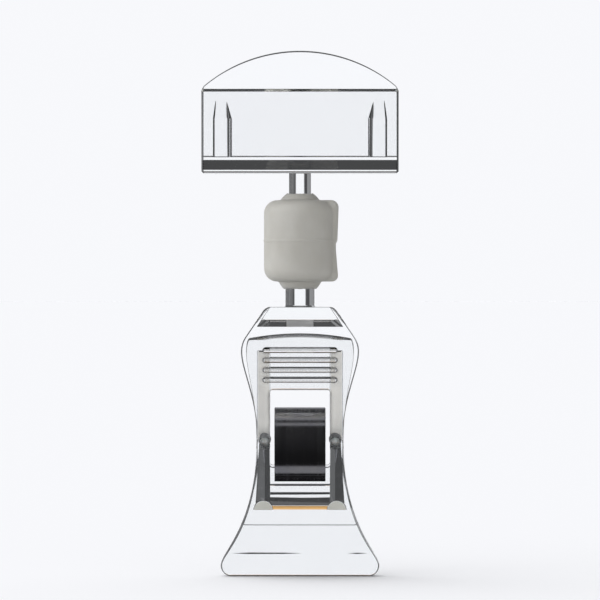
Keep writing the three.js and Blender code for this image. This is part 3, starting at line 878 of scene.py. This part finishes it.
def swivel_connector(material):
    """A barrel with a dome and a ball's socket at each end, and a tab, blended into one skin."""
    foot = LOWER_BALL.z - BARREL_UNDER
    head = UPPER_BALL.z + BARREL_OVER
    seam = (foot + head) / 2
    corner = BARREL - BARREL_CORNER
    lower_rim = math.degrees(math.asin(BARREL_UNDER / DOME))
    upper_rim = math.degrees(math.asin(BARREL_OVER / DOME))
    profile = arc(0, LOWER_BALL.z, DOME, -90, -lower_rim, FINE_ARC_STEPS)
    profile += arc(corner, foot + BARREL_CORNER, BARREL_CORNER, -90, 0)
    profile += [(BARREL, seam - SEAM_BEAD), (BARREL + SEAM_BEAD, seam), (BARREL, seam + SEAM_BEAD)]
    profile += arc(corner, head - BARREL_CORNER, BARREL_CORNER, 0, 90)
    profile += arc(0, UPPER_BALL.z, DOME, upper_rim, 90, FINE_ARC_STEPS)
    round_mouth = arc(0, 0, LOWER_STEM + CLEARANCE, 0, 360, MOUTH_STEPS)[:-1]
    sockets = [
        socket_hollow(LOWER_BALL.z, round_mouth, -1),
        socket_hollow(UPPER_BALL.z, slot_mouth(), 1),
    ]
    barrel = revolve(profile, (0, STEM_Y, 0))
    held = temporary(combine(barrel, [connector_tab(foot, head, seam)], sockets))
    remesh = held.modifiers.new("even skin", "REMESH")
    remesh.mode = "VOXEL"
    remesh.voxel_size = CONNECTOR_VOXEL
    smooth = held.modifiers.new("moulded blends", "SMOOTH")
    smooth.iterations = CONNECTOR_SMOOTHING
    return piece("swivel_connector_moulding", evaluated(held), [material], smooth_angle=180)


# Card grip

def grip_section(top, inset):
    """The grip's section, in Y and Z above its foot, where the back plate ends at the height top."""
    taper = (PLATE_FOOT - PLATE_TIP) / (BACK_PLATE - WEB_HEIGHT)
    corners = [
        (-GRIP_HALF_DEPTH, 0, KEEL_EDGE),
        (KEEL_BACK - KEEL_CHAMFER, 0, KEEL_EDGE),
        (KEEL_BACK, KEEL_CHAMFER, KEEL_EDGE),
        (KEEL_BACK, KEEL_LIP, KEEL_EDGE),
        (GRIP_HALF_DEPTH, KEEL_HEIGHT, RIB_EDGE),
        (GRIP_HALF_DEPTH, top, RIM),
        (SLOT_HALF + taper * (top - WEB_HEIGHT), top, RIM),
        (SLOT_HALF, WEB_HEIGHT, SLOT_CORNER),
        (-SLOT_HALF, WEB_HEIGHT, SLOT_CORNER),
        (-MOUTH_HALF, FRONT_PLATE - LEAD_IN, RIB_EDGE),
        (-MOUTH_HALF - LEAD_IN, FRONT_PLATE, RIB_EDGE),
        (-GRIP_HALF_DEPTH, FRONT_PLATE, FRONT_RIM),
    ]
    moved = offset([(y, z) for y, z, _ in corners], [inset] * len(corners))
    radii = [max(radius - inset, LEAST_EDGE) for _, _, radius in corners]
    return filleted([(y, z, radius) for (y, z), radius in zip(moved, radii)])


def card_channel():
    """The channel, lofted along X, with its back plate's top following an arch."""
    rise = BACK_PLATE - BACK_PLATE_SIDE
    radius = (GRIP_HALF**2 + rise**2) / (2 * rise)
    straight = GRIP_HALF - GRIP_END
    steps = 2 * ROUND_STEPS
    middle = [(0, -straight + 2 * straight * i / steps) for i in range(steps + 1)]
    sections = []
    for inset, x in [(GRIP_END, -GRIP_HALF)] + middle + [(GRIP_END, GRIP_HALF)]:
        top = BACK_PLATE - radius + math.sqrt(radius**2 - x**2)
        sections.append([(x, STEM_Y + y, GRIP_FOOT + z) for y, z in grip_section(top, inset)])
    return loft(sections)


def front_inner(z):
    """The front plate's inner face, at a height above the grip's foot."""
    share = (z - WEB_HEIGHT) / (FRONT_PLATE - LEAD_IN - WEB_HEIGHT)
    return -SLOT_HALF - (MOUTH_HALF - SLOT_HALF) * share


def gripping_finger():
    """The right finger, on the front plate's inner face, with a steep outer side and a round inner one.

    Above its shoulder it slims, and sinks into the plate.
    """
    foot = WEB_HEIGHT - EMBED
    steep = [(FINGER_HALF + (u - 1) * FINGER_STEEP, v) for u, v in arc(0, 0, 1, 0, 90)]
    rounded = [((u + 1) * FINGER_ROUND - FINGER_HALF, v) for u, v in arc(0, 0, 1, 90, 180)]
    section = [(-FINGER_HALF, -EMBED), (FINGER_HALF, -EMBED)]
    section += [(u, v * FINGER_DEPTH) for u, v in steep + rounded]
    taper = FINGER_HEIGHT - FINGER_SHOULDER
    sections = []
    for z in [foot] + [FINGER_SHOULDER + taper * i / FINGER_STEPS for i in range(FINGER_STEPS + 1)]:
        over = max(0, z - FINGER_SHOULDER) / taper
        points = []
        for u, v in section:
            x = FINGER_X + u * (1 - FINGER_SLIM * over) + FINGER_SHIFT * over
            rise = v * (1 - over) - FINGER_SINK * over if v > 0 else v
            points.append((x, STEM_Y + front_inner(z) + rise, GRIP_FOOT + z))
        sections.append(points)
    return loft(sections)


def upper_ball_stem():
    top = GRIP_FOOT - UPPER_BALL.z + EMBED
    neck = math.degrees(math.acos(UPPER_STEM / BALL))
    profile = arc(0, 0, BALL, -90, neck, FINE_ARC_STEPS)
    profile += [(UPPER_STEM, top), (0, top)]
    return revolve(profile, UPPER_BALL)


def sign_grip(material):
    joined = [upper_ball_stem()] + both_sides(gripping_finger)
    return piece("sign_grip_moulding", combine(card_channel(), joined), [material])


# Materials

class Tree:
    """Short calls for the nodes of a material or a world."""

    def __init__(self, owner):
        owner.use_nodes = True
        self.nodes = owner.node_tree.nodes
        self.links = owner.node_tree.links

    def put(self, socket, value):
        """Sets an input to a number or a colour, or links it to the output of another node."""
        if isinstance(value, bpy.types.NodeSocket):
            self.links.new(value, socket)
        else:
            socket.default_value = value

    def set(self, node, **values):
        """Puts values into a node's inputs, which are named with _ for spaces."""
        for name, value in values.items():
            self.put(node.inputs[name.replace("_", " ")], value)

    def new(self, kind, **values):
        made = self.nodes.new(kind)
        self.set(made, **values)
        return made

    def noise(self, scale, stretch=(1, 1, 1), detail=3):
        """Noise with so many waves a metre, squeezed along each axis, in a piece's own coordinates."""
        coordinates = self.new("ShaderNodeTexCoord").outputs["Object"]
        mapped = self.new("ShaderNodeMapping", Vector=coordinates, Scale=stretch).outputs["Vector"]
        texture = self.new("ShaderNodeTexNoise", Vector=mapped, Scale=scale, Detail=detail)
        return texture.outputs["Fac"]

    def between(self, noise, low, high):
        """Noise spread between two values."""
        spread = self.new("ShaderNodeMapRange", Value=noise, To_Min=low, To_Max=high)
        self.set(spread, From_Min=NOISE_LOW, From_Max=NOISE_HIGH)
        return spread.outputs["Result"]

    def blend(self, noise, first, second):
        """A colour that wanders between two."""
        ramp = self.new("ShaderNodeValToRGB", Fac=self.between(noise, 0, 1))
        ramp.color_ramp.elements[0].color = first
        ramp.color_ramp.elements[1].color = second
        return ramp.outputs["Color"]

    def bump(self, noise, height):
        return self.new("ShaderNodeBump", Height=noise, Distance=height).outputs["Normal"]

    def maths(self, operation, *values):
        """A Math node's result, from numbers or the outputs of other nodes."""
        made = self.nodes.new("ShaderNodeMath")
        made.operation = operation
        for socket, value in zip(made.inputs, values):
            self.put(socket, value)
        return made.outputs[0]

    def fade(self, value, full, none):
        """1 up to full, 0 from none on, and smooth between them."""
        made = self.new("ShaderNodeMapRange", Value=value, From_Min=full, From_Max=none)
        self.set(made, To_Min=1, To_Max=0)
        made.interpolation_type = "SMOOTHSTEP"
        return made.outputs["Result"]


def new_material(name):
    material = bpy.data.materials.new(name)
    tree = Tree(material)
    return material, tree, tree.nodes["Principled BSDF"]


def clear_plastic():
    """Polished and clear, with slow ripples from the mould and a faint haze of handling."""
    material, tree, shader = new_material("clear_plastic")
    ripples = tree.noise(120, detail=1)
    haze = tree.noise(45, stretch=(1, 1, 6), detail=6)
    tree.set(
        shader,
        Base_Color=(0.985, 0.99, 0.995, 1),
        Transmission_Weight=1,
        IOR=CLEAR_IOR,
        Roughness=tree.between(haze, 0, CLEAR_HAZE),
        Normal=tree.bump(ripples, CLEAR_RIPPLE * MM),
    )
    absorption = tree.new("ShaderNodeVolumeAbsorption", Color=(0.82, 0.88, 0.86, 1), Density=15)
    tree.set(tree.nodes["Material Output"], Volume=absorption.outputs["Volume"])
    return material


def rough_plastic(name, first, second, clarity):
    """The same plastic where it is rough: matt, with a fine grain, and clouded between two colours."""
    material, tree, shader = new_material(name)
    grain = tree.noise(3500, detail=2)
    patches = tree.noise(260)
    tree.set(
        shader,
        Base_Color=tree.blend(patches, first, second),
        Transmission_Weight=clarity,
        IOR=CLEAR_IOR,
        Roughness=tree.between(patches, 0.6, 0.7),
        Normal=tree.bump(grain, FROST_GRAIN * MM),
    )
    return material


def milky_plastic():
    """Translucent and satin, mottled as natural nylon is, with a fine moulded grain."""
    material, tree, shader = new_material("milky_plastic")
    mottle = tree.noise(170, stretch=(1, 1, 0.6), detail=5)
    grain = tree.noise(2200, detail=2)
    tree.set(
        shader,
        Base_Color=tree.blend(mottle, (0.465, 0.451, 0.405, 1), (0.515, 0.503, 0.459, 1)),
        Roughness=tree.between(mottle, 0.36, 0.5),
        Subsurface_Weight=0.5,
        Subsurface_Radius=(1, 0.95, 0.85),
        Subsurface_Scale=3 * MM,
        Normal=tree.bump(grain, MILKY_GRAIN * MM),
    )
    return material


def spring_steel():
    """Dark polished strip, with streaks from rolling round the bow."""
    material, tree, shader = new_material("spring_steel")
    streaks = tree.noise(1800, stretch=(1, 0.03, 0.03), detail=3)
    stains = tree.noise(160, detail=4)
    tree.set(
        shader,
        Base_Color=tree.blend(stains, (0.5, 0.5, 0.55, 1), (0.58, 0.575, 0.59, 1)),
        Metallic=1,
        Roughness=tree.between(streaks, 0.12, 0.22),
        Normal=tree.bump(streaks, STEEL_STREAK * MM),
    )
    return material


def floor_material():
    """Pale to the eye and to soft light. Clear plastic and metal look past it at the surround."""
    material, tree, shader = new_material("pale_floor")
    tree.set(shader, Base_Color=FLOOR, Roughness=1, Specular_IOR_Level=0)
    rays = tree.new("ShaderNodeLightPath").outputs
    either = tree.maths("MAXIMUM", rays["Is Glossy Ray"], rays["Is Transmission Ray"])
    mix = tree.new("ShaderNodeMixShader", Fac=either)
    tree.put(mix.inputs[1], shader.outputs[0])
    tree.put(mix.inputs[2], tree.new("ShaderNodeBsdfTransparent").outputs[0])
    tree.set(tree.nodes["Material Output"], Surface=mix.outputs[0])
    return material


# Surround

# Plain surfaces get soft light, with more of it from the left and the back.
# Clear plastic and metal show lit panels in a dim room, which is dark on the camera's side.
# A panel has its bearing from +Y towards -X, half its width, its height and half its height,
# all in degrees.
PANELS = [
    (0, 13, 0, 12),
    (45, 9, -26, 9),
    (90, 5, -3, 7),
    (225, 9, -15, 9),
]
PANEL_SOFT = 5
PANEL = 1.1
# Dimmer glows at the sides and low at the back, written as the panels are, with their strength.
GLOWS = [
    (58, 26, 0, 18, 0.3),
    (-55, 32, 0, 18, 0.16),
    (0, 40, -50, 14, 0.18),
]
GLOW_SOFT = 4
# A thin strip along the upper edge of the main panel is amber to what is seen through clear plastic.
AMBER_STRIP = (0, 13, 14, 0.6)
AMBER_SOFT = 0.8
AMBER = (1.0, 0.58, 0.22, 1)
ROOM_THROUGH = 0.07  # strength of the room, seen through clear plastic
ROOM_MIRRORED = 0.28  # and in reflections
CAMERA_SIDE = 0.013  # and in reflections of the camera's side
DARK_SIDE = (180, 45, -6, 64)
DARK_SOFT = 6
BACKGROUND = (0.935, 0.942, 0.97, 1)
AMBIENT = 1.06
AMBIENT_LEFT = 1.02
AMBIENT_BACK = 0.3


def surround():
    world = bpy.data.worlds.new("surround")
    bpy.context.scene.world = world
    tree = Tree(world)
    maths = tree.maths
    direction = tree.new("ShaderNodeTexCoord").outputs["Generated"]
    x, y, z = tree.new("ShaderNodeSeparateXYZ", Vector=direction).outputs
    bearing = maths("ARCTAN2", maths("MULTIPLY", x, -1), y)
    height = maths("ARCSINE", z)

    def patch(turn, half_width, level, half_height, soft):
        """1 inside a patch of the surround, fading to 0 past its edges."""
        aside = maths("WRAP", maths("SUBTRACT", bearing, math.radians(turn)), math.pi, -math.pi)
        above = maths("SUBTRACT", height, math.radians(level))
        fades = []
        for away, half in ((aside, half_width), (above, half_height)):
            edge, end = math.radians(half), math.radians(half + soft)
            fades.append(tree.fade(maths("ABSOLUTE", away), edge, end))
        return maths("MULTIPLY", *fades)

    lit = 0
    for panel in PANELS:
        lit = maths("MAXIMUM", lit, patch(*panel, PANEL_SOFT))
    through = maths("MULTIPLY_ADD", lit, PANEL - ROOM_THROUGH, ROOM_THROUGH)
    for *glow, level in GLOWS:
        through = maths("MAXIMUM", through, maths("MULTIPLY", patch(*glow, GLOW_SOFT), level))
    dark = patch(*DARK_SIDE, DARK_SOFT)
    room = maths("MULTIPLY_ADD", dark, CAMERA_SIDE - ROOM_MIRRORED, ROOM_MIRRORED)
    reflected = maths("MAXIMUM", lit, room)
    ambient = maths("MULTIPLY_ADD", x, -AMBIENT_LEFT, AMBIENT)
    ambient = maths("MULTIPLY_ADD", y, AMBIENT_BACK, ambient)
    rays = tree.new("ShaderNodeLightPath").outputs
    strength = ambient
    for ray, level in (("Glossy", reflected), ("Transmission", through), ("Camera", 1)):
        chosen = rays[f"Is {ray} Ray"]
        strength = maths("MULTIPLY_ADD", chosen, maths("SUBTRACT", level, strength), strength)
    strip = maths("MULTIPLY", patch(*AMBER_STRIP, AMBER_SOFT), rays["Is Transmission Ray"])
    tint = tree.new("ShaderNodeMix")
    tint.data_type = "RGBA"
    tree.set(tint, A=BACKGROUND, B=AMBER, Factor=strip)
    tree.set(tree.nodes["Background"], Color=tint.outputs["Result"], Strength=strength)


# Floor
FLOOR_HALF = 200
FLOOR = (0.943, 0.943, 0.943, 1)


def pale_floor():
    bm = bmesh.new()
    bmesh.ops.create_grid(bm, x_segments=1, y_segments=1, size=FLOOR_HALF)
    floor = new_object("floor", bm)
    floor.data.materials.append(floor_material())


# Camera
CAMERA_DISTANCE = 1.2
FRAME_WIDTH = 0.1523
FRAME_CENTRE = (0.0, 0.07005)  # X and Z


def camera():
    """Level and straight on, as far off as a product photograph is taken."""
    data = bpy.data.cameras.new("camera")
    data.lens = data.sensor_width * CAMERA_DISTANCE / FRAME_WIDTH
    made = bpy.data.objects.new("camera", data)
    made.location = (FRAME_CENTRE[0], -CAMERA_DISTANCE, FRAME_CENTRE[1])
    made.rotation_euler = (math.pi / 2, 0, 0)
    bpy.context.scene.collection.objects.link(made)
    bpy.context.scene.camera = made


def place(made, body, node, slot):
    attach(made, body)
    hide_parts(node)


clear = clear_plastic()
frosted = rough_plastic("frosted_plastic", (0.83, 0.79, 0.69, 1), (0.87, 0.84, 0.75, 1), clarity=1)
scuffed = rough_plastic("scuffed_plastic", (0.95, 0.95, 0.95, 1), (1, 1, 1, 1), clarity=1)
stippled = rough_plastic("stippled_plastic", (0.8, 0.8, 0.78, 1), (0.95, 0.95, 0.94, 1), clarity=0.2)
place(rear_jaw([clear, frosted, scuffed, stippled]), "clip", "rear_jaw", "clear_plastic")
place(front_jaw([clear, frosted, scuffed]), "lever", "front_jaw", "clear_plastic")
place(sign_grip(clear), "grip", "sign_grip", "clear_plastic")
place(swivel_connector(milky_plastic()), "connector", "swivel_connector", "milky_plastic")

spring = clamp_spring(spring_steel())
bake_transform(spring)
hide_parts("clamp_spring")

pale_floor()
surround()
camera()
bpy.context.scene.view_settings.view_transform = "Standard"
